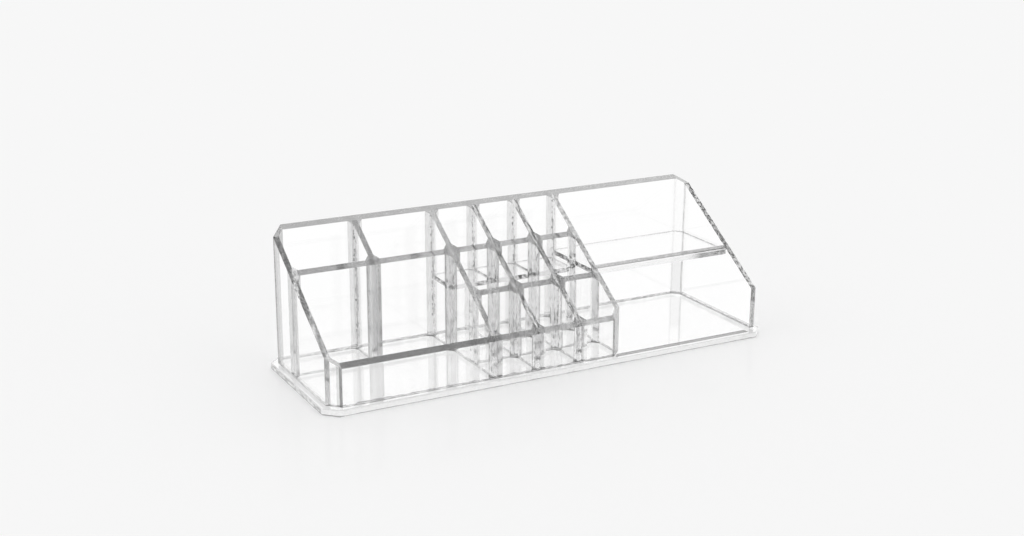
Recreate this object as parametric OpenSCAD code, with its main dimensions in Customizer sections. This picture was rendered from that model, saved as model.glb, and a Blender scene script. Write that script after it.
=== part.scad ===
// Clear vanity organizer: upright panels cemented to a base plate, all cut to one sloping top line.
// Origin at the middle of the underside, +X along the length to the right, the low front faces -Y, +Z up.

/* [Compartments] */
// Clear width and depth of one lipstick cell
lipstick_cell = 25.6; // [22:0.2:30]
// Clear width of each of the two tall wells
well_w = 48.5; // [40:0.5:70]
// Clear depth of the tall wells and of the rear row of cells
well_d = 26.8; // [24:0.2:36]
// Clear width of the open bay at the right
bay_w = 99; // [70:0.5:140]

/* [Heights] */
// Height of the back above the table
overall_h = 88.5; // [80:0.5:100]
// Height of the top line at the front face
front_h = 27.5; // [22:0.5:32]
// Height of the top of the raised floors in the rear row of cells
raised_floor_h = 44.8; // [36:0.2:50]
// Height of the top of the shelf in the bay
shelf_h = 49.4; // [44:0.2:54]

/* [Panels] */
// Thickness of the upright panels
wall = 3.5; // [2.5:0.1:4]
// Thickness of the base plate
base_t = 4; // [3:0.1:5]
// Thickness of the shelf and the raised floors
plate_t = 3; // [2.5:0.1:4]
// How far the base plate stands out around the walls
flange = 3.75; // [2:0.25:6]
// Leg of the cut across the outer corners of the walls
corner = 7.5; // [6:0.1:9]
// Leg of the cut across the corners of the base plate
base_corner = 8.2; // [7:0.1:10]
// Leg of the three-cornered strips in the inner corners
fillet = 3; // [2:0.1:4]

/* [Bay] */
// Depth from front to back of the lips along the front of the shelf and of the bay floor
lip_w = 2.5; // [2:0.1:3.5]
// Height of the front edge of the shelf lip above the shelf
shelf_lip_rise = 0.8; // [0.4:0.1:1.6]
// Height of the bay floor lip at its back
floor_lip_h = 0.9; // [0.7:0.1:2.5]
// How far the bay floor lip stands out in front of the front face
floor_lip_out = 1.5; // [0:0.1:2]
// How far the right end panel stops short of the front face
bay_setback = 5; // [4:0.1:8]

/* [Hidden] */

// Red, green, blue and opacity of clear acrylic
clear_acrylic = [0.91, 0.95, 0.96, 0.45];
// The cells stand in this many columns
cell_columns = 3;
// Share of a crossing's height that is slotted out of the divider; the cross panel is slotted above it
lap_share = 0.5;
// How far a cut runs past what it cuts
overrun = 5;

pitch = lipstick_cell + wall;
cell_block_w = cell_columns * pitch;
body_l = wall + well_w + wall + well_w + wall + cell_block_w + bay_w + wall;
body_d = pitch + pitch + wall + well_d + wall;

// Outer faces of the walls
left_x = -body_l / 2;
right_x = body_l / 2;
front_y = -body_d / 2;
back_y = body_d / 2;

// Left faces of the panels that run front to back
well_divider_x = left_x + wall + well_w;
tray_divider_x = well_divider_x + wall + well_w;
left_cell_divider_x = tray_divider_x + pitch;
right_cell_divider_x = left_cell_divider_x + pitch;
bay_divider_x = tray_divider_x + cell_block_w;
bay_x = bay_divider_x + wall;
right_end_x = right_x - wall;

// Front faces of the panels that run left to right
middle_cross_y = front_y + pitch;
rear_cross_y = middle_cross_y + pitch;
well_y = rear_cross_y + wall;
back_panel_y = back_y - wall;

full_depth_dividers = [tray_divider_x, left_cell_divider_x, right_cell_divider_x];
cell_dividers = [left_cell_divider_x, right_cell_divider_x];
all_dividers = [well_divider_x, tray_divider_x, left_cell_divider_x, right_cell_divider_x, bay_divider_x];

// The sloping top line that every upright is cut to
slope = (overall_h - front_h) / body_d;
inner_corner = corner - wall;
// The shelf stops where the top line is the lip's rise above it
shelf_front_y = front_y + (shelf_h + shelf_lip_rise - front_h) / slope;
shelf_lip_y = shelf_front_y + lip_w;

// Front edge of the bay floor lip, from the corner strip to the right end panel's setback
floor_lip_x0 = bay_x - corner;
floor_lip_x1 = right_end_x - bay_setback;
floor_lip_y0 = front_y - floor_lip_out;
floor_lip_y1 = floor_lip_y0 + lip_w;

// Height of the sloping top line at y
function top_z(y) = front_h + slope * (y - front_y);

// Height where the two halves of a crossing meet
function lap_z(cross_y) = base_t + (top_z(cross_y) - base_t) * lap_share;

// Profile in the front-to-back plane, pushed along the length from x0 to x1
module along_length(x0, x1, points) {
    translate([x0, 0, 0]) rotate([90, 0, 90]) linear_extrude(x1 - x0) polygon(points);
}

// Upright between x0, y0 and x1, y1, standing on z0 and cut off at the sloping top line
module sloped_panel(x0, x1, y0, y1, z0) {
    along_length(x0, x1, [[y0, z0], [y1, z0], [y1, top_z(y1)], [y0, top_z(y0)]]);
}

// Upright strip with the given outline in plan, cut off at the sloping top line
module sloped_strip(outline) {
    intersection() {
        linear_extrude(overall_h) polygon(outline);
        sloped_panel(left_x, right_x, front_y, back_y, base_t);
    }
}

// Three-cornered strip in the inner corner at x, y; the signs say which way its legs run
module fillet_strip(x, y, x_sign, y_sign) {
    sloped_strip([[x, y], [x + x_sign * fillet, y], [x, y + y_sign * fillet]]);
}

// Two fillet strips, one on each side of a divider, against a face at y
module fillet_pair(divider_x, y, y_sign) {
    fillet_strip(divider_x, y, -1, y_sign);
    fillet_strip(divider_x + wall, y, 1, y_sign);
}

// Divider from the front panel to the back panel, slotted from below at each cross panel
module crossed_divider(divider_x, crossings) {
    difference() {
        sloped_panel(divider_x, divider_x + wall, front_y + wall, back_panel_y, base_t);
        for (cross_y = crossings)
            translate([divider_x - overrun, cross_y, base_t - overrun])
                cube([wall + overrun + overrun, wall, lap_z(cross_y) - base_t + overrun]);
    }
}

// Cross panel from x0 to x1, slotted from above at each divider that crosses it
module cross_panel(x0, x1, cross_y, dividers) {
    difference() {
        sloped_panel(x0, x1, cross_y, cross_y + wall, base_t);
        for (divider_x = dividers)
            translate([divider_x, cross_y - overrun, lap_z(cross_y)])
                cube([wall, wall + overrun + overrun, overall_h]);
    }
}

// Floor plate of one rear cell, its corners cut to pass the fillet strips
module cell_floor(x0, x1) {
    translate([0, 0, raised_floor_h - plate_t])
        linear_extrude(plate_t)
            polygon([[x0 + fillet, well_y], [x1 - fillet, well_y],
                     [x1, well_y + fillet], [x1, back_panel_y - fillet],
                     [x1 - fillet, back_panel_y], [x0 + fillet, back_panel_y],
                     [x0, back_panel_y - fillet], [x0, well_y + fillet]]);
}

// Space between the 45 degree cuts at the ends of the bay floor lip; the left one follows the corner strip
module floor_lip_plan() {
    linear_extrude(overall_h)
        polygon([[floor_lip_x0 - overrun, floor_lip_y0 - overrun],
                 [floor_lip_x1 + overrun, floor_lip_y0 - overrun],
                 [floor_lip_x1 - lip_w - overrun, floor_lip_y1 + overrun],
                 [floor_lip_x0 + lip_w + overrun, floor_lip_y1 + overrun]]);
}

module base_plate() {
    x0 = left_x - flange;
    x1 = right_x + flange;
    y0 = front_y - flange;
    y1 = back_y + flange;
    color(clear_acrylic)
        linear_extrude(base_t)
            polygon([[x0 + base_corner, y0], [x1 - base_corner, y0],
                     [x1, y0 + base_corner], [x1, y1 - base_corner],
                     [x1 - base_corner, y1], [x0 + base_corner, y1],
                     [x0, y1 - base_corner], [x0, y0 + base_corner]]);
}

module back_panel() {
    color(clear_acrylic) sloped_panel(left_x + corner, right_x - corner, back_panel_y, back_y, base_t);
}

module left_end_panel() {
    color(clear_acrylic)
        sloped_panel(left_x, left_x + wall, front_y + corner, back_y - corner, base_t);
}

module right_end_panel() {
    color(clear_acrylic)
        sloped_panel(right_end_x, right_x, front_y + bay_setback, back_y - corner, base_t);
}

module front_panel() {
    color(clear_acrylic)
        sloped_panel(left_x + corner, bay_x - corner, front_y, front_y + wall, base_t);
}

module rear_cross_panel() {
    color(clear_acrylic)
        cross_panel(left_x + wall, bay_divider_x, rear_cross_y, full_depth_dividers);
}

module middle_cross_panel() {
    color(clear_acrylic)
        cross_panel(tray_divider_x + wall, bay_divider_x, middle_cross_y, cell_dividers);
}

module well_divider() {
    color(clear_acrylic)
        sloped_panel(well_divider_x, well_divider_x + wall, well_y, back_panel_y, base_t);
}

module tray_divider() {
    color(clear_acrylic) crossed_divider(tray_divider_x, [rear_cross_y]);
}

module left_cell_divider() {
    color(clear_acrylic) crossed_divider(left_cell_divider_x, [middle_cross_y, rear_cross_y]);
}

module right_cell_divider() {
    color(clear_acrylic) crossed_divider(right_cell_divider_x, [middle_cross_y, rear_cross_y]);
}

module bay_divider() {
    color(clear_acrylic) sloped_panel(bay_divider_x, bay_x, front_y + corner, back_panel_y, base_t);
}

module rear_left_corner_strip() {
    color(clear_acrylic)
        sloped_strip([[left_x, back_y - corner], [left_x + wall, back_y - corner],
                      [left_x + corner, back_panel_y], [left_x + corner, back_y]]);
}

module rear_right_corner_strip() {
    color(clear_acrylic)
        sloped_strip([[right_x, back_y - corner], [right_end_x, back_y - corner],
                      [right_x - corner, back_panel_y], [right_x - corner, back_y]]);
}

module front_left_corner_strip() {
    color(clear_acrylic)
        sloped_strip([[left_x, front_y + corner], [left_x + corner, front_y],
                      [left_x + corner, front_y + wall], [left_x + wall, front_y + corner]]);
}

module cell_block_corner_strip() {
    color(clear_acrylic)
        sloped_strip([[bay_x, front_y + corner], [bay_x - corner, front_y],
                      [bay_x - corner, front_y + wall], [bay_divider_x, front_y + corner]]);
}

module raised_cell_floors() {
    color(clear_acrylic)
        for (divider_x = full_depth_dividers) cell_floor(divider_x + wall, divider_x + pitch);
}

module shelf_panel() {
    color(clear_acrylic)
        translate([0, 0, shelf_h - plate_t])
            linear_extrude(plate_t)
                polygon([[bay_x, shelf_front_y], [right_end_x, shelf_front_y],
                         [right_end_x, back_panel_y - inner_corner],
                         [right_end_x - inner_corner, back_panel_y],
                         [bay_x + fillet, back_panel_y], [bay_x, back_panel_y - fillet]]);
}

module shelf_lip() {
    color(clear_acrylic) sloped_panel(bay_x, right_end_x, shelf_front_y, shelf_lip_y, shelf_h);
}

module bay_floor_lip() {
    color(clear_acrylic)
        intersection() {
            along_length(floor_lip_x0, floor_lip_x1,
                         [[floor_lip_y0, base_t], [floor_lip_y1, base_t],
                          [floor_lip_y1, base_t + floor_lip_h]]);
            floor_lip_plan();
        }
}

module back_panel_fillets() {
    color(clear_acrylic) for (divider_x = all_dividers) fillet_pair(divider_x, back_panel_y, -1);
}

module rear_cross_fillets() {
    color(clear_acrylic) {
        fillet_strip(left_x + wall, rear_cross_y, 1, -1);
        fillet_strip(left_x + wall, well_y, 1, 1);
        fillet_pair(well_divider_x, well_y, 1);
        for (divider_x = full_depth_dividers) {
            fillet_pair(divider_x, rear_cross_y, -1);
            fillet_pair(divider_x, well_y, 1);
        }
        fillet_strip(bay_divider_x, rear_cross_y, -1, -1);
        fillet_strip(bay_divider_x, well_y, -1, 1);
    }
}

module middle_cross_fillets() {
    color(clear_acrylic) {
        fillet_strip(tray_divider_x + wall, middle_cross_y, 1, -1);
        fillet_strip(tray_divider_x + wall, middle_cross_y + wall, 1, 1);
        for (divider_x = cell_dividers) {
            fillet_pair(divider_x, middle_cross_y, -1);
            fillet_pair(divider_x, middle_cross_y + wall, 1);
        }
        fillet_strip(bay_divider_x, middle_cross_y, -1, -1);
        fillet_strip(bay_divider_x, middle_cross_y + wall, -1, 1);
    }
}

module front_panel_fillets() {
    color(clear_acrylic)
        for (divider_x = full_depth_dividers) fillet_pair(divider_x, front_y + wall, 1);
}

base_plate();
back_panel();
left_end_panel();
right_end_panel();
front_panel();
rear_cross_panel();
middle_cross_panel();
well_divider();
tray_divider();
left_cell_divider();
right_cell_divider();
bay_divider();
rear_left_corner_strip();
rear_right_corner_strip();
front_left_corner_strip();
cell_block_corner_strip();
raised_cell_floors();
shelf_panel();
shelf_lip();
bay_floor_lip();
back_panel_fillets();
rear_cross_fillets();
middle_cross_fillets();
front_panel_fillets();
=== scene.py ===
# Clear acrylic vanity organizer, cemented together from flat cut sheets, on a pale table.
# Metres throughout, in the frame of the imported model: +X to the right, the low front faces -Y, +Z up.
import math

import bpy
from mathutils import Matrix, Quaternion, Vector


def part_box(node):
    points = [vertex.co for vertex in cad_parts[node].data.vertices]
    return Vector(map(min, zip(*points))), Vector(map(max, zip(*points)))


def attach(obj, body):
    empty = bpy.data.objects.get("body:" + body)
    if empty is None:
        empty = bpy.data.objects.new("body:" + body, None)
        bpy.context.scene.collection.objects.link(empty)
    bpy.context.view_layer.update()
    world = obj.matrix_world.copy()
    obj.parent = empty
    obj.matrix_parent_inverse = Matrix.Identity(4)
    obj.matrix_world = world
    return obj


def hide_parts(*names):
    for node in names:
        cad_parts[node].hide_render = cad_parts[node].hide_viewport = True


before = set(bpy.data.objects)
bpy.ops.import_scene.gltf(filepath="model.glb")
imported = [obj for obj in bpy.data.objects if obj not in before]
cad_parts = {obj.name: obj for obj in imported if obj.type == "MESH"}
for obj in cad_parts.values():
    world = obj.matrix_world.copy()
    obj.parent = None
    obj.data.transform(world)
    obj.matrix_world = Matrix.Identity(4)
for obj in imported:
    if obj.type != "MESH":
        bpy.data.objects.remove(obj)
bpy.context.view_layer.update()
scene = bpy.context.scene

# Base plate
# One thick sheet of clear cast acrylic, with its four corners cut off at 45 degrees. Its long sides
# are polished, its short ones left as sawn, and its sharp edges broken all round. Everything else is
# cemented down on it.
MM = 0.001
BASE_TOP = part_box("base_plate")[1].z
BROKEN_EDGE = 0.5 * MM
# A broken edge has a share of its normal upward between these two, and an upright face has less
BROKEN_EDGE_LEAST = 0.5
BROKEN_EDGE_MOST = 0.9


def put(tree, kind, inputs=None, **settings):
    """Puts a node in a tree, with its settings, and gives each of its inputs a value or a link."""
    node = tree.nodes.new(kind)
    for name, value in settings.items():
        setattr(node, name, value)
    for name, value in (inputs or {}).items():
        if isinstance(value, bpy.types.NodeSocket):
            tree.links.new(value, node.inputs[name])
        else:
            node.inputs[name].default_value = value
    return node


def open_group(name, kind, inputs, outputs):
    """A node group with the named sockets, its input end, and its output end."""
    group = bpy.data.node_groups.new(name, kind)
    for label, socket_type, value in inputs:
        socket = group.interface.new_socket(label, in_out="INPUT", socket_type=socket_type)
        if value is not None:
            socket.default_value = value
    for label, socket_type in outputs:
        group.interface.new_socket(label, in_out="OUTPUT", socket_type=socket_type)
    return group, group.nodes.new("NodeGroupInput").outputs, group.nodes.new("NodeGroupOutput").inputs


WHITE = (1, 1, 1, 1)
NOISE_MIDDLE = 0.5
# Patches where a cut's painted highlights and shade fade out begin and end this far from the middle of their
# noise
PATCH_EDGE = 0.08
PATCH_SCALE = 90.0
# Where painted light makes a cut paler to the right, its dark marks get paler by this share
RISE_IN_DARK = 0.5


def saw_cut_group():
    """Greys and mottles the sawn faces with painted shade and highlights over their real relief: those whose
    normal lies along Cut by a share from Least to Most.
    """
    group, enter, leave = open_group(
        "sawn_face_painted_light",
        "ShaderNodeTree",
        [
            ("Color", "NodeSocketColor", WHITE),
            ("Mask", "NodeSocketFloat", 0.0),
            ("Height", "NodeSocketFloat", 0.0),
            ("Cut", "NodeSocketVector", (0, 0, 1)),
            ("Least", "NodeSocketFloat", 0.98),
            ("Most", "NodeSocketFloat", 1.1),
            ("Pale tone", "NodeSocketFloat", 0.5),
            ("Dark tone", "NodeSocketFloat", 0.3),
            ("Paler to the right", "NodeSocketFloat", 0.0),
            ("Paler from", "NodeSocketFloat", -1.0),
            ("Grain", "NodeSocketVector", (1, 1, 1)),
            ("Mottle scale", "NodeSocketFloat", 800.0),
            ("Mottle softness", "NodeSocketFloat", 0.15),
            ("Patchiness", "NodeSocketFloat", 0.5),
            ("Relief", "NodeSocketFloat", 0.0),
        ],
        [("Color", "NodeSocketColor"), ("Mask", "NodeSocketFloat"), ("Height", "NodeSocketFloat")],
    )
    # A normal that points either way along the cut counts, so only the size of its share is taken
    normal = put(group, "ShaderNodeNewGeometry").outputs["True Normal"]
    along = put(group, "ShaderNodeVectorMath", {0: normal, 1: enter["Cut"]}, operation="DOT_PRODUCT")
    share = put(group, "ShaderNodeMath", {0: along.outputs["Value"]}, operation="ABSOLUTE").outputs[0]
    above = put(group, "ShaderNodeMath", {0: share, 1: enter["Least"]}, operation="GREATER_THAN").outputs[0]
    below = put(group, "ShaderNodeMath", {0: share, 1: enter["Most"]}, operation="LESS_THAN").outputs[0]
    mask = put(group, "ShaderNodeMath", {0: above, 1: below}, operation="MULTIPLY").outputs[0]

    place = put(group, "ShaderNodeTexCoord").outputs["Object"]
    drawn_out = put(
        group, "ShaderNodeVectorMath", {0: place, 1: enter["Grain"]}, operation="MULTIPLY"
    ).outputs[0]
    mottle = put(
        group,
        "ShaderNodeTexNoise",
        {"Vector": drawn_out, "Scale": enter["Mottle scale"], "Detail": 3.0, "Roughness": 0.6},
    ).outputs["Fac"]
    soft = enter["Mottle softness"]
    low = put(group, "ShaderNodeMath", {0: NOISE_MIDDLE, 1: soft}, operation="SUBTRACT").outputs[0]
    high = put(group, "ShaderNodeMath", {0: NOISE_MIDDLE, 1: soft}, operation="ADD").outputs[0]
    spot = put(group, "ShaderNodeMapRange", {"Value": mottle, "From Min": low, "From Max": high}).outputs[0]
    # The painted highlights and shade are strong in some patches and faint in others
    patch = put(
        group, "ShaderNodeTexNoise", {"Vector": place, "Scale": PATCH_SCALE, "Detail": 1.0}
    ).outputs["Fac"]
    faint_patch = put(
        group,
        "ShaderNodeMapRange",
        {
            "Value": patch,
            "From Min": NOISE_MIDDLE - PATCH_EDGE,
            "From Max": NOISE_MIDDLE + PATCH_EDGE,
            "To Min": enter["Patchiness"],
            "To Max": 0.0,
        },
    ).outputs[0]
    spot = put(
        group, "ShaderNodeMapRange", {"Value": faint_patch, "To Min": spot, "To Max": NOISE_MIDDLE}
    ).outputs[0]

    # Painted light: a cut's tones grow paler towards the right end of the organizer
    x = put(group, "ShaderNodeSeparateXYZ", {0: place}).outputs["X"]
    half_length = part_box("base_plate")[1].x
    rightward = put(group, "ShaderNodeMath", {0: x, 1: half_length}, operation="DIVIDE").outputs[0]
    rise = put(
        group,
        "ShaderNodeMapRange",
        {"Value": rightward, "From Min": enter["Paler from"], "To Max": enter["Paler to the right"]},
    ).outputs[0]
    pale = put(group, "ShaderNodeMath", {0: enter["Pale tone"], 1: rise}, operation="ADD").outputs[0]
    dark = put(
        group, "ShaderNodeMath", {0: rise, 1: RISE_IN_DARK, 2: enter["Dark tone"]}, operation="MULTIPLY_ADD"
    ).outputs[0]
    tone = put(group, "ShaderNodeMapRange", {"Value": spot, "To Min": dark, "To Max": pale}).outputs[0]
    tone = put(group, "ShaderNodeMapRange", {"Value": mask, "To Min": 1.0, "To Max": tone}).outputs[0]
    shaded = put(
        group, "ShaderNodeVectorMath", {0: enter["Color"], "Scale": tone}, operation="SCALE"
    ).outputs[0]
    either = put(group, "ShaderNodeMath", {0: enter["Mask"], 1: mask}, operation="MAXIMUM").outputs[0]
    teeth = put(group, "ShaderNodeMath", {0: mottle, 1: mask}, operation="MULTIPLY").outputs[0]
    height = put(
        group, "ShaderNodeMath", {0: teeth, 1: enter["Relief"], 2: enter["Height"]}, operation="MULTIPLY_ADD"
    ).outputs[0]
    group.links.new(shaded, leave["Color"])
    group.links.new(either, leave["Mask"])
    group.links.new(height, leave["Height"])
    return group


# The cement's creep begins and ends this far from the middle of its noise
CREEP_EDGE = 0.15


def cement_line_group():
    """The dull line that cement leaves on the upright faces of a piece within Reach of Low or High, also used
    for a painted shadow along the foot of the base plate.
    """
    group, enter, leave = open_group(
        "cement_and_shadow_line",
        "ShaderNodeTree",
        [
            ("Color", "NodeSocketColor", WHITE),
            ("Low", "NodeSocketVector", (0, 0, 0)),
            ("High", "NodeSocketVector", (0, 0, 0)),
            ("Reach", "NodeSocketVector", (0, 0, 0)),
            ("Tone", "NodeSocketFloat", 0.6),
            ("Creep scale", "NodeSocketFloat", 250.0),
            ("Most creep", "NodeSocketFloat", 2.0),
            ("Least creep", "NodeSocketFloat", 0.0),
        ],
        [("Color", "NodeSocketColor")],
    )
    place = put(group, "ShaderNodeTexCoord").outputs["Object"]
    gaps = []
    for side in (enter["Low"], enter["High"]):
        off = put(group, "ShaderNodeVectorMath", {0: place, 1: side}, operation="SUBTRACT").outputs[0]
        gaps.append(put(group, "ShaderNodeVectorMath", {0: off}, operation="ABSOLUTE").outputs[0])
    nearest = put(group, "ShaderNodeVectorMath", {0: gaps[0], 1: gaps[1]}, operation="MINIMUM").outputs[0]
    # The cement crept unevenly, between the least and the most creep, as shares of its reach
    creep = put(
        group, "ShaderNodeTexNoise", {"Vector": place, "Scale": enter["Creep scale"], "Detail": 2.0}
    ).outputs["Fac"]
    gain = put(
        group,
        "ShaderNodeMapRange",
        {
            "Value": creep,
            "From Min": NOISE_MIDDLE - CREEP_EDGE,
            "From Max": NOISE_MIDDLE + CREEP_EDGE,
            "To Min": enter["Least creep"],
            "To Max": enter["Most creep"],
        },
    ).outputs[0]
    reach = put(
        group, "ShaderNodeVectorMath", {0: enter["Reach"], "Scale": gain}, operation="SCALE"
    ).outputs[0]
    left_over = put(group, "ShaderNodeVectorMath", {0: nearest, 1: reach}, operation="SUBTRACT").outputs[0]
    apart = put(group, "ShaderNodeSeparateXYZ", {0: left_over}).outputs
    least = put(group, "ShaderNodeMath", {0: apart["X"], 1: apart["Y"]}, operation="MINIMUM").outputs[0]
    least = put(group, "ShaderNodeMath", {0: least, 1: apart["Z"]}, operation="MINIMUM").outputs[0]
    inside = put(group, "ShaderNodeMath", {0: least, 1: 0.0}, operation="LESS_THAN").outputs[0]
    normal = put(group, "ShaderNodeNewGeometry").outputs["True Normal"]
    upward = put(group, "ShaderNodeSeparateXYZ", {0: normal}).outputs["Z"]
    upward = put(group, "ShaderNodeMath", {0: upward}, operation="ABSOLUTE").outputs[0]
    upright = put(
        group, "ShaderNodeMath", {0: upward, 1: BROKEN_EDGE_LEAST}, operation="LESS_THAN"
    ).outputs[0]
    line = put(group, "ShaderNodeMath", {0: inside, 1: upright}, operation="MULTIPLY").outputs[0]
    tone = put(
        group, "ShaderNodeMapRange", {"Value": line, "To Min": 1.0, "To Max": enter["Tone"]}
    ).outputs[0]
    shaded = put(
        group, "ShaderNodeVectorMath", {0: enter["Color"], "Scale": tone}, operation="SCALE"
    ).outputs[0]
    group.links.new(shaded, leave["Color"])
    return group


# Values of the polish's noise where a smear begins, and where it is at its fullest
SMEAR_FROM = 0.55
SMEAR_FULL = 0.75


def wiped_sheet_group():
    """A sheet that is wiped often: slow waves from casting, and faint smears in the polish."""
    group, enter, leave = open_group(
        "wiped_sheet",
        "ShaderNodeTree",
        [
            ("Wave scale", "NodeSocketFloat", 45.0),
            ("Smear scale", "NodeSocketFloat", 30.0),
            ("Smear roughness", "NodeSocketFloat", 0.03),
        ],
        [("Roughness", "NodeSocketFloat"), ("Height", "NodeSocketFloat")],
    )
    place = put(group, "ShaderNodeTexCoord").outputs["Object"]
    wave = put(
        group, "ShaderNodeTexNoise", {"Vector": place, "Scale": enter["Wave scale"], "Detail": 1.0}
    ).outputs["Fac"]
    smear = put(
        group,
        "ShaderNodeTexNoise",
        {"Vector": place, "Scale": enter["Smear scale"], "Detail": 5.0, "Distortion": 1.5},
    ).outputs["Fac"]
    rough = put(
        group,
        "ShaderNodeMapRange",
        {
            "Value": smear,
            "From Min": SMEAR_FROM,
            "From Max": SMEAR_FULL,
            "To Max": enter["Smear roughness"],
        },
    ).outputs[0]
    group.links.new(rough, leave["Roughness"])
    group.links.new(wave, leave["Height"])
    return group


SAWN_FACE_PAINTED_LIGHT = saw_cut_group()
CEMENT_AND_SHADOW_LINE = cement_line_group()
WIPED_SHEET = wiped_sheet_group()
ACRYLIC_IOR = 1.49
CUT_ROUGHNESS = 0.12
WAVE_DEPTH = 0.05 * MM
LAMP_TINT = (0.975, 0.98, 0.98, 1)


def clear_acrylic(name, cuts, cement, cut_roughness=CUT_ROUGHNESS):
    """Clear acrylic sheet with its own painted shade and highlights for each of the saw's cuts, and its own
    values for each dark line, of cement and of painted shadow.
    """
    material = bpy.data.materials.new(name)
    material.use_nodes = True
    tree = material.node_tree
    tree.nodes.clear()
    cut = None
    for values in cuts:
        earlier = {label: cut.outputs[label] for label in ("Color", "Mask", "Height")} if cut else {}
        cut = put(tree, "ShaderNodeGroup", {**earlier, **values}, node_tree=SAWN_FACE_PAINTED_LIGHT)
    line = cut
    for values in cement:
        line = put(tree, "ShaderNodeGroup", {"Color": line.outputs["Color"], **values}, node_tree=CEMENT_AND_SHADOW_LINE)
    sheet = put(tree, "ShaderNodeGroup", node_tree=WIPED_SHEET)
    rough = put(
        tree,
        "ShaderNodeMapRange",
        {"Value": cut.outputs["Mask"], "To Min": sheet.outputs["Roughness"], "To Max": cut_roughness},
    )
    waves = put(tree, "ShaderNodeBump", {"Height": sheet.outputs["Height"], "Distance": WAVE_DEPTH})
    teeth = put(
        tree,
        "ShaderNodeBump",
        {"Height": cut.outputs["Height"], "Distance": 1.0, "Normal": waves.outputs[0]},
    )
    body = put(
        tree,
        "ShaderNodeBsdfPrincipled",
        {
            "Base Color": line.outputs["Color"],
            "Roughness": rough.outputs[0],
            "IOR": ACRYLIC_IOR,
            "Transmission Weight": 1.0,
            "Normal": teeth.outputs[0],
        },
    )
    # The lamp shines straight through, so that the shadow stays as faint as a clear thing's
    lamp = put(tree, "ShaderNodeBsdfTransparent", {"Color": LAMP_TINT})
    ray = put(tree, "ShaderNodeLightPath")
    surface = put(
        tree, "ShaderNodeMixShader", {0: ray.outputs["Is Shadow Ray"], 1: body.outputs[0], 2: lamp.outputs[0]}
    )
    put(tree, "ShaderNodeOutputMaterial", {"Surface": surface.outputs[0]})
    return material


WELD_REACH = 0.001 * MM


def join_corners(piece):
    """Joins the loose triangles of a CAD piece into one skin, by a modifier."""
    weld = piece.modifiers.new("corners_joined", "WELD")
    weld.merge_threshold = WELD_REACH


def finish_piece(piece, material):
    """Gives a CAD piece its material, on the object, so that the mesh stays as it was packed."""
    for slot in piece.material_slots:
        slot.link = "OBJECT"
        slot.material = material


# A cement line's places lie this far away in the directions that it doesn't measure
FAR_OFF = 1.0


def at_height(z):
    """The places of a cement line that runs level at this height."""
    return {"Low": (FAR_OFF, FAR_OFF, z), "High": (FAR_OFF, FAR_OFF, z)}


SPECKLED = {"Mottle softness": 0.02, "Patchiness": 0, "Grain": (1, 0.5, 1)}
EVEN_CREEP = {"Least creep": 0.9, "Most creep": 1.1}
# The broken edges and the upright sides are greyed and mottled with painted shade and highlights, the sawn
# short sides most
EDGE_TONES = {"Least": BROKEN_EDGE_LEAST, "Most": BROKEN_EDGE_MOST, "Pale tone": 0.9, "Dark tone": 0.6}
SIDE_TONES = {"Least": -1, "Most": BROKEN_EDGE_LEAST, "Pale tone": 1.0, "Dark tone": 0.8, "Relief": 0.02 * MM}
SHORT_SIDE_TONES = {"Cut": (1, 0, 0), "Pale tone": 0.8, "Dark tone": 0.25, "Mottle scale": 600, **SPECKLED}
# Painted shadow: the dark line along the foot of the plate, where it meets the table
CONTACT_SHADOW_LINE = {**at_height(0), "Reach": (0, 0, 0.8 * MM), "Tone": 0.12, **EVEN_CREEP}
base_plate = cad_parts["base_plate"]
finish_piece(
    base_plate,
    clear_acrylic("base_plate_acrylic", [EDGE_TONES, SIDE_TONES, SHORT_SIDE_TONES], [CONTACT_SHADOW_LINE]),
)
join_corners(base_plate)
broken_edges = base_plate.modifiers.new("broken_edges", "BEVEL")
broken_edges.width = BROKEN_EDGE
broken_edges.segments = 1

# Panels from left to right
# Flat sheets sawn along the sloping top line, from the high back panel to the low front panel.
# Their sawn top faces are greyer than the sheet, partly from the saw and partly by painted shade, and paler
# to the right by painted light; thin cement holds their feet to the base.
CEMENT_BITE = 0.01 * MM
# The top line climbs by this rise from front to back, over this run
SLOPE_RISE = 61 * MM
SLOPE_RUN = 92 * MM
SLOPE_NORMAL = Vector((0, -SLOPE_RISE, SLOPE_RUN)).normalized()
UNEVEN_CREEP = {"Creep scale": 300, "Least creep": 0.4, "Most creep": 1.6}
FOOT_LINE = {**at_height(BASE_TOP), "Reach": (0, 0, 0.6 * MM), "Tone": 0.3, **UNEVEN_CREEP}
# Grain and relief of a cut that the saw ran along from left to right
ALONG_X = {"Grain": (0.3, 1, 1), "Relief": 0.02 * MM}


def cement_in(node, material):
    """Finishes a piece and swells it by the cement's bite, so that no air is left in its joints."""
    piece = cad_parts[node]
    finish_piece(piece, material)
    join_corners(piece)
    bite = piece.modifiers.new("cement_bite", "DISPLACE")
    bite.strength = CEMENT_BITE
    bite.mid_level = 0


def slope_cut(pale, dark, to_right=0, paler_from=-1, **more):
    """The cut along the sloping top line, with its tones, and how much paler it gets to the right."""
    cut = {"Cut": SLOPE_NORMAL, "Pale tone": pale, "Dark tone": dark}
    return {**cut, "Paler to the right": to_right, "Paler from": paler_from, **more}


def sawn_upright(node, *cuts):
    """An upright panel with its cuts, cemented down."""
    cement_in(node, clear_acrylic(node + "_acrylic", cuts, [FOOT_LINE]))


sawn_upright("back_panel", slope_cut(pale=0.21, dark=0.17, to_right=0.14, **ALONG_X))
sawn_upright("rear_cross_panel", slope_cut(pale=0.14, dark=0.12, to_right=0.24, **ALONG_X))
sawn_upright("middle_cross_panel", slope_cut(pale=0.10, dark=0.08, to_right=0.12, **ALONG_X))
sawn_upright("front_panel", slope_cut(pale=0.05, dark=0.035, to_right=0.95, paler_from=-0.3, **ALONG_X))
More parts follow.
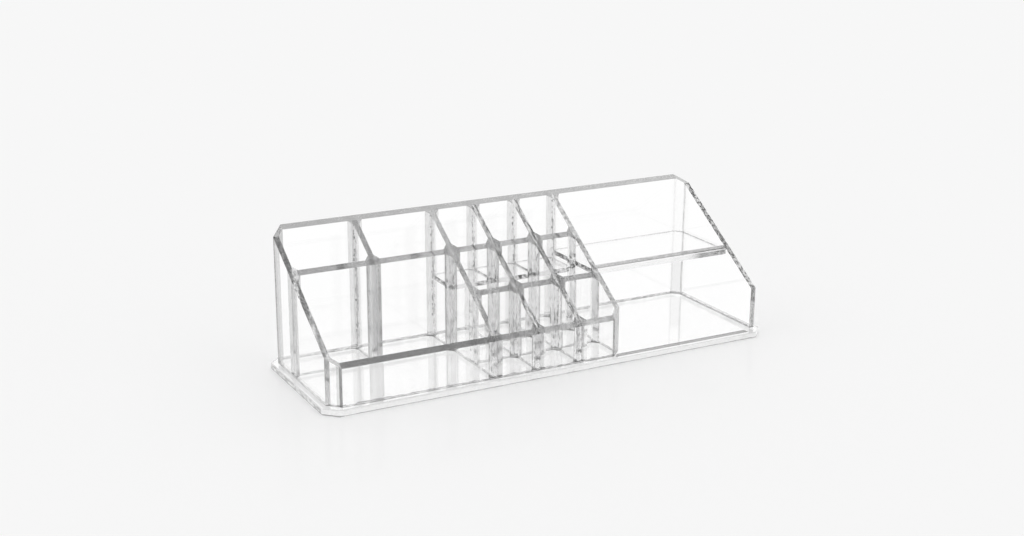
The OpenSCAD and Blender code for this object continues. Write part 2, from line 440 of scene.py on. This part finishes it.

# Panels from front to back
# The two end panels, and the dividers between the wells, the cells and the bay, cemented to the
# panels across or half lapped with them. Their sawn top faces run down the slope, and are more
# mottled with painted highlights and shade than those of the panels across.
ALONG_Y = {"Grain": (1, 0.2, 0.2), "Mottle scale": 600, "Relief": 0.1 * MM}
ROUGH_Y = {**ALONG_Y, "Mottle softness": 0.05, "Patchiness": 0.3, "Relief": 0.15 * MM}
SPECKLED_Y = {**ROUGH_Y, **SPECKLED, "Grain": (1, 0.6, 0.6), "Mottle scale": 700}
DIVIDER_ENDS = {"Cut": (0, 1, 0), "Pale tone": 0.65, "Dark tone": 0.5, "Grain": (1, 1, 0.15)}
FRONT_EDGE = {"Cut": (0, 1, 0), "Pale tone": 0.8, "Dark tone": 0.4, **ROUGH_Y}
sawn_upright("left_end_panel", slope_cut(pale=0.5, dark=0.14, **SPECKLED_Y))
sawn_upright("well_divider", slope_cut(pale=0.22, dark=0.18, **ALONG_Y), DIVIDER_ENDS)
sawn_upright("tray_divider", slope_cut(pale=0.38, dark=0.16, **ALONG_Y))
sawn_upright("left_cell_divider", slope_cut(pale=0.7, dark=0.03, **ROUGH_Y))
sawn_upright("right_cell_divider", slope_cut(pale=0.7, dark=0.03, **ROUGH_Y))
sawn_upright("bay_divider", slope_cut(pale=0.68, dark=0.25, **SPECKLED_Y))
sawn_upright("right_end_panel", slope_cut(pale=1.0, dark=0.08, **SPECKLED_Y), FRONT_EDGE)

# Corner strips
# Narrow strips, mitred and cemented across the outer corners of the walls. They turn the corner at
# 45 degrees, so their joints show as pairs of upright lines.
# A long face stands at 45 degrees, so its normal has a share along x that is neither small nor whole
LONG_FACE = {"Cut": (1, 0, 0), "Least": 0.5, "Most": 0.9, "Grain": (1, 1, 0.15), "Relief": 0.02 * MM}
JOINT = {"Grain": (1, 1, 0.3)}
STRIP_TOP = {"Relief": 0.05 * MM}
# The rear right strip is a little darker from its foot up to this share of the way to the shelf
DARKER_BELOW_SHARE = 0.55
DARKER_BELOW_HEIGHT = DARKER_BELOW_SHARE * (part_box("shelf_panel")[0].z - BASE_TOP)
NO_CREEP = {"Least creep": 1, "Most creep": 1}
DARKER_BELOW = {**at_height(BASE_TOP), "Reach": (0, 0, DARKER_BELOW_HEIGHT), "Tone": 0.88, **NO_CREEP}
# Cement was squeezed out wide where the front left strip meets the front panel
FRONT_JOINT = (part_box("front_panel")[0].x, FAR_OFF, FAR_OFF)
WIDE_LINE = {"Low": FRONT_JOINT, "High": FRONT_JOINT, "Reach": (1.2 * MM, 0, 0), "Tone": 0.6, **EVEN_CREEP}


def streaked(tone):
    """Painted highlight and painted shade for a streaked face, whose streaks take the light twice, so that
    the shade is the square of the highlight.
    """
    return {"Pale tone": tone, "Dark tone": tone * tone}


def mitred_strip(node, top, long_face, joint_across, joint_along, cement=()):
    """A corner strip, with the painted shade and highlights of its top and its long 45 degree faces, and the
    tones of its two joints.
    """
    material = clear_acrylic(
        node + "_acrylic",
        [
            slope_cut(pale=top, dark=top * top, **STRIP_TOP),
            {**LONG_FACE, **streaked(long_face)},
            {**JOINT, "Cut": (1, 0, 0), **streaked(joint_across)},
            {**JOINT, "Cut": (0, 1, 0), **streaked(joint_along)},
        ],
        [FOOT_LINE, *cement],
    )
    cement_in(node, material)


mitred_strip("rear_left_corner_strip", top=0.7, long_face=0.72, joint_across=0.8, joint_along=0.6)
mitred_strip(
    "rear_right_corner_strip", top=0.5, long_face=1.0, joint_across=0.93, joint_along=0.97, cement=[DARKER_BELOW]
)
mitred_strip(
    "front_left_corner_strip", top=0.9, long_face=1.0, joint_across=0.4, joint_along=0.82, cement=[WIDE_LINE]
)
mitred_strip("cell_block_corner_strip", top=0.9, long_face=0.64, joint_across=0.5, joint_along=0.75)

# Fillet strips
# Three-cornered strips cemented into the inner corners, where dividers meet the panels across.
# One strip is drawn once, and stood in each corner, turned to it and cut off at the top line.
FILLET_LEG = 3 * MM
# Height of the top line at the outer face of the front panel
FRONT_PANEL_TOP = 27.5 * MM
# The faces that the strips stand against, from back to front
BACK_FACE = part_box("back_panel")[0].y
REAR_CROSS = [corner.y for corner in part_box("rear_cross_panel")]
MIDDLE_CROSS = [corner.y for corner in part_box("middle_cross_panel")]
FRONT_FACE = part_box("front_panel")[1].y
LEFT_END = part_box("left_end_panel")[1].x
TRAY_DIVIDER_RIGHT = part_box("tray_divider")[1].x
BAY_DIVIDER_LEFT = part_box("bay_divider")[0].x
DIVIDERS = ["well_divider", "tray_divider", "left_cell_divider", "right_cell_divider", "bay_divider"]
# The dividers that run on through the rear cross panel, and those that run on through the middle one too
THROUGH_REAR_CROSS = DIVIDERS[1:4]
THROUGH_MIDDLE_CROSS = DIVIDERS[2:4]
EDGE_LINE = {"Reach": (0, 0.3 * MM, 0), "Creep scale": 500, "Least creep": -1.5, "Most creep": 2.5}
# Quarter turns of a strip whose corner opens towards these sides, along x and along y
QUARTER_TURNS = {(1, 1): 0, (-1, 1): 1, (-1, -1): 2, (1, -1): 3}


def fillet_tree():
    """Stands one three-cornered strip on each corner point, turned by its quarter turns."""
    tree, enter, leave = open_group(
        "fillet_strips",
        "GeometryNodeTree",
        [
            ("Corners", "NodeSocketGeometry", None),
            ("Leg", "NodeSocketFloat", 0.0),
            ("Bite", "NodeSocketFloat", 0.0),
            ("Foot height", "NodeSocketFloat", 0.0),
            ("Front face", "NodeSocketFloat", 0.0),
            ("Top height at front", "NodeSocketFloat", 0.0),
            ("Top rise", "NodeSocketFloat", 0.0),
            ("Acrylic", "NodeSocketMaterial", None),
        ],
        [("Strips", "NodeSocketGeometry")],
    )
    back_off = put(tree, "ShaderNodeMath", {0: enter["Bite"], 1: -1.0}, operation="MULTIPLY").outputs[0]
    inner = put(tree, "ShaderNodeCombineXYZ", {"X": back_off, "Y": back_off}).outputs[0]
    along_x = put(tree, "ShaderNodeCombineXYZ", {"X": enter["Leg"], "Y": back_off}).outputs[0]
    along_y = put(tree, "ShaderNodeCombineXYZ", {"X": back_off, "Y": enter["Leg"]}).outputs[0]
    ring = put(tree, "GeometryNodeMeshCircle", {"Vertices": 3}, fill_type="NGON").outputs[0]
    index = put(tree, "GeometryNodeInputIndex").outputs[0]
    corner = put(tree, "GeometryNodeIndexSwitch", data_type="VECTOR")
    corner.index_switch_items.new()
    tree.links.new(index, corner.inputs["Index"])
    for number, point in enumerate((inner, along_x, along_y)):
        tree.links.new(point, corner.inputs[str(number)])
    plan = put(tree, "GeometryNodeSetPosition", {"Geometry": ring, "Position": corner.outputs[0]}).outputs[0]
    raised = put(tree, "GeometryNodeExtrudeMesh", {"Mesh": plan, "Offset Scale": 1.0}).outputs["Mesh"]
    underside = put(tree, "GeometryNodeFlipFaces", {"Mesh": plan}).outputs[0]
    both = put(tree, "GeometryNodeJoinGeometry")
    tree.links.new(raised, both.inputs[0])
    tree.links.new(underside, both.inputs[0])
    strip = put(tree, "GeometryNodeMergeByDistance", {"Geometry": both.outputs[0]}).outputs[0]
    turns = put(
        tree, "GeometryNodeInputNamedAttribute", {"Name": "quarter_turns"}, data_type="FLOAT"
    ).outputs[0]
    angle = put(tree, "ShaderNodeMath", {0: turns, 1: math.pi / 2}, operation="MULTIPLY").outputs[0]
    euler = put(tree, "ShaderNodeCombineXYZ", {"Z": angle}).outputs[0]
    rotation = put(tree, "FunctionNodeEulerToRotation", {0: euler}).outputs[0]
    stood = put(
        tree,
        "GeometryNodeInstanceOnPoints",
        {"Points": enter["Corners"], "Instance": strip, "Rotation": rotation},
    ).outputs[0]
    real = put(tree, "GeometryNodeRealizeInstances", {"Geometry": stood}).outputs[0]
    place = put(tree, "GeometryNodeInputPosition").outputs[0]
    apart = put(tree, "ShaderNodeSeparateXYZ", {0: place}).outputs
    depth = put(
        tree, "ShaderNodeMath", {0: apart["Y"], 1: enter["Front face"]}, operation="SUBTRACT"
    ).outputs[0]
    top = put(
        tree,
        "ShaderNodeMath",
        {0: depth, 1: enter["Top rise"], 2: enter["Top height at front"]},
        operation="MULTIPLY_ADD",
    ).outputs[0]
    height = put(
        tree, "ShaderNodeMapRange", {"Value": apart["Z"], "To Min": enter["Foot height"], "To Max": top}
    ).outputs[0]
    cut_off = put(tree, "ShaderNodeCombineXYZ", {"X": apart["X"], "Y": apart["Y"], "Z": height}).outputs[0]
    sloped = put(tree, "GeometryNodeSetPosition", {"Geometry": real, "Position": cut_off}).outputs[0]
    done = put(tree, "GeometryNodeSetMaterial", {"Geometry": sloped, "Material": enter["Acrylic"]}).outputs[0]
    tree.links.new(done, leave["Strips"])
    return tree


FILLET_TREE = fillet_tree()


def corners_at(divider, y, y_sign):
    """The corner points on both sides of a divider, against a face at y, with their quarter turns."""
    low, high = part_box(divider)
    return [((low.x, y), QUARTER_TURNS[-1, y_sign]), ((high.x, y), QUARTER_TURNS[1, y_sign])]


def wall_corners(x, x_sign, cross_panel):
    """The corner points where a wall's face at x meets both faces of a cross panel."""
    front, back = cross_panel
    return [((x, front), QUARTER_TURNS[x_sign, -1]), ((x, back), QUARTER_TURNS[x_sign, 1])]


def edge_lines(*places, tone):
    """Broken lines of cement along upright edges that lie at one or two places from front to back."""
    low, high = [(FAR_OFF, y, FAR_OFF) for y in (places[0], places[-1])]
    return {"Low": low, "High": high, "Tone": tone, **EDGE_LINE}


def fillet_strips(node, corners, edges, pale, dark, long_face, to_right=0):
    """Strips standing in the given corners, in place of a CAD node."""
    # The strips' tops and long faces are greyed with painted shade and highlights, paler to the right by
    # painted light
    material = clear_acrylic(
        node + "_acrylic",
        [
            slope_cut(pale, dark, **STRIP_TOP),
            {**LONG_FACE, **streaked(long_face), "Paler to the right": to_right},
        ],
        [FOOT_LINE, edges],
    )
    points = bpy.data.meshes.new(node + "_corners")
    points.from_pydata([(x, y, 0) for (x, y), turns in corners], [], [])
    turned = points.attributes.new("quarter_turns", "FLOAT", "POINT")
    turned.data.foreach_set("value", [turns for place, turns in corners])
    stand = bpy.data.objects.new(node + "_corners", points)
    scene.collection.objects.link(stand)
    modifier = stand.modifiers.new("fillet_strips", "NODES")
    modifier.node_group = FILLET_TREE
    sizes = {
        "Leg": FILLET_LEG,
        "Bite": CEMENT_BITE,
        "Foot height": BASE_TOP - CEMENT_BITE,
        "Front face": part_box("front_panel")[0].y,
        "Top height at front": FRONT_PANEL_TOP,
        "Top rise": SLOPE_RISE / SLOPE_RUN,
        "Acrylic": material,
    }
    for item in FILLET_TREE.interface.items_tree:
        if item.name in sizes:
            modifier[item.identifier] = sizes[item.name]
    evaluated = stand.evaluated_get(bpy.context.evaluated_depsgraph_get())
    mesh = bpy.data.meshes.new_from_object(evaluated)
    mesh.name = node + "_strips"
    strips = bpy.data.objects.new(node + "_strips", mesh)
    scene.collection.objects.link(strips)
    bpy.data.objects.remove(stand)
    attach(strips, "root")
    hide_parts(node)


before_back = []
for divider in DIVIDERS:
    before_back += corners_at(divider, BACK_FACE, -1)
back_edges = edge_lines(BACK_FACE - FILLET_LEG, tone=0.2)
fillet_strips(
    "back_panel_fillets", before_back, back_edges, pale=0.34, dark=0.22, long_face=0.7, to_right=0.2
)

round_rear_cross = [
    *wall_corners(LEFT_END, 1, REAR_CROSS),
    *corners_at("well_divider", REAR_CROSS[1], 1),
    *wall_corners(BAY_DIVIDER_LEFT, -1, REAR_CROSS),
]
for divider in THROUGH_REAR_CROSS:
    round_rear_cross += corners_at(divider, REAR_CROSS[0], -1)
    round_rear_cross += corners_at(divider, REAR_CROSS[1], 1)
rear_edges = edge_lines(REAR_CROSS[0] - FILLET_LEG, REAR_CROSS[1] + FILLET_LEG, tone=0.7)
fillet_strips(
    "rear_cross_fillets", round_rear_cross, rear_edges, pale=0.30, dark=0.18, long_face=0.55, to_right=0.8
)

round_middle_cross = [
    *wall_corners(TRAY_DIVIDER_RIGHT, 1, MIDDLE_CROSS),
    *wall_corners(BAY_DIVIDER_LEFT, -1, MIDDLE_CROSS),
]
for divider in THROUGH_MIDDLE_CROSS:
    round_middle_cross += corners_at(divider, MIDDLE_CROSS[0], -1)
    round_middle_cross += corners_at(divider, MIDDLE_CROSS[1], 1)
middle_edges = edge_lines(MIDDLE_CROSS[0] - FILLET_LEG, MIDDLE_CROSS[1] + FILLET_LEG, tone=0.3)
fillet_strips(
    "middle_cross_fillets", round_middle_cross, middle_edges, pale=0.26, dark=0.15, long_face=0.88
)

behind_front = []
for divider in THROUGH_REAR_CROSS:
    behind_front += corners_at(divider, FRONT_FACE, 1)
front_edges = edge_lines(FRONT_FACE + FILLET_LEG, tone=0.2)
fillet_strips("front_panel_fillets", behind_front, front_edges, pale=0.24, dark=0.12, long_face=0.88)

# Raised cell floors
# Three plates, one for each rear cell, let in at half height with their corners cut to pass the
# fillet strips. Their sawn sides are rough, with painted highlights and painted shade.
ROUGH_SIDES_PAINTED_LIGHT = {
    "Cut": (1, 0, 0),
    "Least": 0.5,
    "Pale tone": 1.0,
    "Dark tone": 0.01,
    "Mottle scale": 500,
    "Relief": 0.15 * MM,
    **SPECKLED,
}
CLEAN_SIDES = {"Cut": (0, 1, 0), "Pale tone": 1.0, "Dark tone": 0.7}
CLEAN_ROUGHNESS = 0.03
cement_in(
    "raised_cell_floors",
    clear_acrylic("raised_cell_floors_acrylic", [ROUGH_SIDES_PAINTED_LIGHT, CLEAN_SIDES], [], CLEAN_ROUGHNESS),
)

# Bay shelf
# The shelf plate runs from the back panel to past the middle of the bay, cemented along three sides.
# A thin square lip along its front keeps things from sliding off.
# Painted highlights and shade mottle the shelf's front face and sawn sides, over their relief
SHELF_FRONT = {
    "Cut": (0, 1, 0),
    "Pale tone": 1.0,
    "Dark tone": 0.9,
    "Grain": (0.2, 1, 1),
    "Relief": 0.4 * MM,
}
cement_in("shelf_panel", clear_acrylic("shelf_panel_acrylic", [SHELF_FRONT, ROUGH_SIDES_PAINTED_LIGHT], []))
# Painted shade greys the lip's sawn top
LIP_TOP = slope_cut(pale=0.5, dark=0.2, **STRIP_TOP)
cement_in("shelf_lip", clear_acrylic("shelf_lip_acrylic", [LIP_TOP], []))

# Bay floor lip
# A wedge-shaped strip cemented along the front of the bay floor, low in front and high behind, with
# its ends cut at 45 degrees.
lip_low, lip_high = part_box("bay_floor_lip")
WEDGE_NORMAL = Vector((0, lip_low.z - lip_high.z, lip_high.y - lip_low.y)).normalized()
# Painted shade greys the wedge's sloping top
WEDGE_TOP = {"Cut": WEDGE_NORMAL, "Pale tone": 0.32, "Dark tone": 0.22, **ALONG_X}
cement_in("bay_floor_lip", clear_acrylic("bay_floor_lip_acrylic", [WEDGE_TOP], []))

# Table
# A wide pale sheet that the organizer stands on, in contact all over its underside. Through the
# acrylic it shows half as a glowing white and half as a mirror, and painted shade greys the white
# after each reflection inside a sheet and near the base plate.
TABLE_HALF = 12.0
# The table reaches this far into the plate's underside, so that no air is left between them
TABLE_TOP = 0.02 * MM
TABLE_COLOUR = (0.965, 0.965, 0.965, 1)
TABLE_GLOSS = 0.05
TABLE_ROUGHNESS = 0.12
UNDER_GLOSS = 0.5
UNDER_ROUGHNESS = 0.03
# Each reflection after the free ones leaves this share of the white above the least
KEPT_BY_REFLECTION = 0.12
KEPT_AT_LEAST = 0.75
FREE_REFLECTIONS = 0.8
# Distances from the base plate where the painted shade begins to lift, and where all of the white is back
WHITE_FROM = 60 * MM
ALL_WHITE_AT = 220 * MM


def white_kept(tree, ray):
    """Painted shade: the share of the white that is left after a ray's reflections and near the base, and all
    of it far from the base.
    """
    late = put(
        tree, "ShaderNodeMath", {0: ray.outputs["Glossy Depth"], 1: FREE_REFLECTIONS}, operation="SUBTRACT"
    ).outputs[0]
    late = put(tree, "ShaderNodeMath", {0: late, 1: 0.0}, operation="MAXIMUM").outputs[0]
    share = put(tree, "ShaderNodeMath", {0: KEPT_BY_REFLECTION, 1: late}, operation="POWER").outputs[0]
    near = put(tree, "ShaderNodeMapRange", {"Value": share, "To Min": KEPT_AT_LEAST}).outputs[0]
    place = put(tree, "ShaderNodeTexCoord").outputs["Object"]
    size = put(tree, "ShaderNodeVectorMath", {0: place}, operation="ABSOLUTE").outputs[0]
    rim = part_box("base_plate")[1]
    past = put(tree, "ShaderNodeVectorMath", {0: size, 1: (rim.x, rim.y, 0)}, operation="SUBTRACT").outputs[0]
    apart = put(tree, "ShaderNodeSeparateXYZ", {0: past}).outputs
    distance = put(tree, "ShaderNodeMath", {0: apart["X"], 1: apart["Y"]}, operation="MAXIMUM").outputs[0]
    return put(
        tree,
        "ShaderNodeMapRange",
        {"Value": distance, "From Min": WHITE_FROM, "From Max": ALL_WHITE_AT, "To Min": near, "To Max": 1.0},
    ).outputs[0]


def shows_in_acrylic(tree, ray):
    """One for a ray that comes out of the acrylic or off its gloss."""
    return put(
        tree,
        "ShaderNodeMath",
        {0: ray.outputs["Is Transmission Ray"], 1: ray.outputs["Is Glossy Ray"]},
        operation="MAXIMUM",
    ).outputs[0]


table_mesh = bpy.data.meshes.new("table")
table_turns = [(-1, -1), (1, -1), (1, 1), (-1, 1)]
table_corners = [(x * TABLE_HALF, y * TABLE_HALF, TABLE_TOP) for x, y in table_turns]
table_mesh.from_pydata(table_corners, [], [range(len(table_corners))])
table = bpy.data.objects.new("table", table_mesh)
scene.collection.objects.link(table)
white_table = bpy.data.materials.new("white_table")
white_table.use_nodes = True
tree = white_table.node_tree
tree.nodes.clear()
ray = put(tree, "ShaderNodeLightPath")
top = put(tree, "ShaderNodeBsdfDiffuse", {"Color": TABLE_COLOUR})
lit = put(tree, "ShaderNodeEmission", {"Strength": white_kept(tree, ray)})
mirror = put(tree, "ShaderNodeBsdfGlossy", {"Color": WHITE, "Roughness": UNDER_ROUGHNESS})
white = put(tree, "ShaderNodeMixShader", {0: UNDER_GLOSS, 1: lit.outputs[0], 2: mirror.outputs[0]})
gloss = put(tree, "ShaderNodeBsdfGlossy", {"Color": WHITE, "Roughness": TABLE_ROUGHNESS})
polished = put(tree, "ShaderNodeMixShader", {0: TABLE_GLOSS, 1: top.outputs[0], 2: gloss.outputs[0]})
in_acrylic = shows_in_acrylic(tree, ray)
either = put(tree, "ShaderNodeMixShader", {0: in_acrylic, 1: polished.outputs[0], 2: white.outputs[0]})
put(tree, "ShaderNodeOutputMaterial", {"Surface": either.outputs[0]})
table_mesh.materials.append(white_table)

# Backdrop and light
# An even white tent all round, and one wide soft lamp high in front on the left, whose shadow is
# barely there.
FILL_STRENGTH = 0.70
BACKDROP_COLOUR = (0.93, 0.93, 0.93, 1)
LAMP_STRENGTH = 1.0
LAMP_SPREAD = math.radians(40)
LAMP_TILT = math.radians(35)
LAMP_TURN = math.radians(-30)
tent = bpy.data.worlds.new("tent")
scene.world = tent
tent.use_nodes = True
tree = tent.node_tree
tree.nodes.clear()
ray = put(tree, "ShaderNodeLightPath")
fill = put(tree, "ShaderNodeBackground", {"Color": WHITE, "Strength": FILL_STRENGTH})
backdrop = put(tree, "ShaderNodeBackground", {"Color": BACKDROP_COLOUR})
white = put(tree, "ShaderNodeBackground", {"Color": WHITE, "Strength": 1.0})
behind_all = put(
    tree, "ShaderNodeMixShader", {0: ray.outputs["Is Camera Ray"], 1: fill.outputs[0], 2: backdrop.outputs[0]}
)
in_acrylic = shows_in_acrylic(tree, ray)
around = put(tree, "ShaderNodeMixShader", {0: in_acrylic, 1: behind_all.outputs[0], 2: white.outputs[0]})
put(tree, "ShaderNodeOutputWorld", {"Surface": around.outputs[0]})

lamp = bpy.data.lights.new("lamp", "SUN")
lamp.energy = LAMP_STRENGTH
lamp.angle = LAMP_SPREAD
lamp_stand = bpy.data.objects.new("lamp", lamp)
scene.collection.objects.link(lamp_stand)
lamp_stand.rotation_euler = (LAMP_TILT, 0, LAMP_TURN)

# Camera
# At the photograph's angle, fitted to the outlines of the panels and the base plate. It looks down
# from the front and the left, at a point near the middle of the organizer.
IMAGE_WIDTH = 1024
SENSOR_WIDTH = 36
FOCAL_PIXELS = 1517.637
CAMERA_AIM = Vector((-1.6187, 12.6776, 50.6826)) * MM
CAMERA_DISTANCE = 953.154 * MM
CAMERA_TURN = math.radians(-28.463)
CAMERA_TILT = math.radians(17.065)
CAMERA_ROLL = math.radians(0.331)
camera = bpy.data.cameras.new("camera")
camera.sensor_width = SENSOR_WIDTH
camera.lens = SENSOR_WIDTH * FOCAL_PIXELS / IMAGE_WIDTH
tripod = bpy.data.objects.new("camera", camera)
scene.collection.objects.link(tripod)
across = math.cos(CAMERA_TILT)
back = Vector((math.sin(CAMERA_TURN) * across, -math.cos(CAMERA_TURN) * across, math.sin(CAMERA_TILT)))
tripod.location = CAMERA_AIM + back * CAMERA_DISTANCE
tripod.rotation_mode = "QUATERNION"
tripod.rotation_quaternion = back.to_track_quat("Z", "Y") @ Quaternion((0, 0, 1), CAMERA_ROLL)
scene.camera = tripod

# Colour and depth of light
# Colours show as they are written, and light may pass through many sheets one after another.
SHEET_PASSES = 32
scene.view_settings.view_transform = "Standard"
scene.cycles.max_bounces = SHEET_PASSES
scene.cycles.transmission_bounces = SHEET_PASSES
scene.cycles.glossy_bounces = SHEET_PASSES
scene.cycles.transparent_max_bounces = SHEET_PASSES
